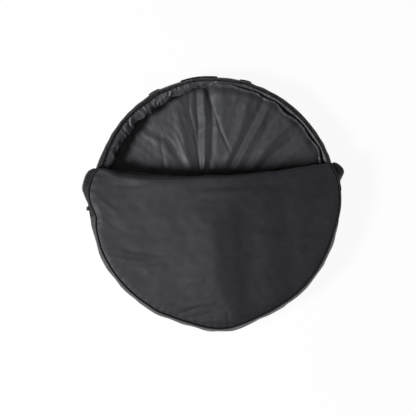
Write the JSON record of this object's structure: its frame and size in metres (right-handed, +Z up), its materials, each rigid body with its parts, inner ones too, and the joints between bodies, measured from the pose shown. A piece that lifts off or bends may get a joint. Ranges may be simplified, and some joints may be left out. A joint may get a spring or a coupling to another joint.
{
  "type": "bike wheel bag",
  "caption": "Round padded carrying bag for one spoked bicycle wheel, with a half-round zip and its top flap folded in under the front cover.",
  "frame": {"origin": "centre of the back panel's underside, on which the bag lies", "axes": "+Z up from the back panel to the front cover, +Y towards the carrying handle, +X to the right seen from the front"},
  "size_m": [0.7663, 0.7619, 0.1185],
  "materials": {
    "outer_cloth": "matt woven polyester",
    "lining_cloth": "thin satin nylon",
    "foam": "closed-cell foam",
    "piping": "wrapped cord",
    "zip_tape": "woven tape",
    "zip_teeth": "satin nylon coil",
    "slider_metal": "black lacquer",
    "guard_plastic": "matt sheet",
    "webbing": "ribbed webbing",
    "grip_rubber": "matt"
  },
  "bodies": {
    "bag": {"back_shell": "outer_cloth", "back_foam": "foam", "back_lining": "lining_cloth", "back_hub_guard": "guard_plastic", "back_piping": "piping", "inner_seam_binding": "piping", "lower_gusset": "outer_cloth", "lower_gusset_lining": "lining_cloth", "upper_gusset": "outer_cloth", "upper_gusset_lining": "lining_cloth", "gusset_zip_tape": "zip_tape", "gusset_zip_coil": "zip_teeth", "front_shell": "outer_cloth", "front_foam": "foam", "front_lining": "lining_cloth", "front_hub_guard": "guard_plastic", "front_piping": "piping", "left_ear_tape": "zip_tape", "left_ear_coil": "zip_teeth", "right_ear_tape": "zip_tape", "right_ear_coil": "zip_teeth", "lip_roll": "outer_cloth", "left_zip_stop": "webbing", "right_zip_stop": "webbing", "left_handle_anchor": "webbing", "right_handle_anchor": "webbing"},
    "flap": {"flap_shell": "outer_cloth", "flap_foam": "foam", "flap_lining": "lining_cloth", "flap_piping": "piping", "flap_zip_tape": "zip_tape", "flap_zip_coil": "zip_teeth"},
    "left_slider": {"left_slider": "slider_metal"},
    "right_slider": {"right_slider": "slider_metal"},
    "left_puller": {"left_puller": "slider_metal"},
    "right_puller": {"right_puller": "slider_metal"},
    "handle": {"handle_grip": "grip_rubber", "left_handle_strap": "webbing", "right_handle_strap": "webbing"}
  },
  "joints": [
    {"name": "flap_fold", "type": "hinge", "parent": "bag", "child": "flap", "pos_m": [0.00869, 0.10564, 0.1], "axis": [-0.9966, 0.0819, 0], "range_deg": [0, 186], "deforming": ["flap_shell", "flap_foam", "flap_lining", "flap_piping", "flap_zip_tape", "flap_zip_coil", "lip_roll"]},
    {"name": "left_slider_run", "type": "hinge", "parent": "bag", "child": "left_slider", "pos_m": [0, 0, 0.08044], "axis": [0, 0, 1], "range_deg": [-86, 0]},
    {"name": "right_slider_run", "type": "hinge", "parent": "bag", "child": "right_slider", "pos_m": [0, 0, 0.08044], "axis": [0, 0, 1], "range_deg": [0, 86]},
    {"name": "left_puller_flip", "type": "hinge", "parent": "left_slider", "child": "left_puller", "pos_m": [-0.37995, 0.01858, 0.08044], "axis": [0.0489, 0.9988, 0], "range_deg": [0, 170]},
    {"name": "right_puller_flip", "type": "hinge", "parent": "right_slider", "child": "right_puller", "pos_m": [0.38001, 0.01726, 0.08044], "axis": [0.0454, -0.999, 0], "range_deg": [0, 170]},
    {"name": "handle_lift", "type": "slide", "parent": "bag", "child": "handle", "axis": [-0.0175, 0.9998, 0], "range_m": [0, 0.03], "deforming": ["left_handle_strap", "right_handle_strap"]}
  ],
  "couplings": [
    {"joint": "left_slider_run", "follows": "flap_fold", "ratio": -0.46237},
    {"joint": "right_slider_run", "follows": "flap_fold", "ratio": 0.46237}
  ]
}
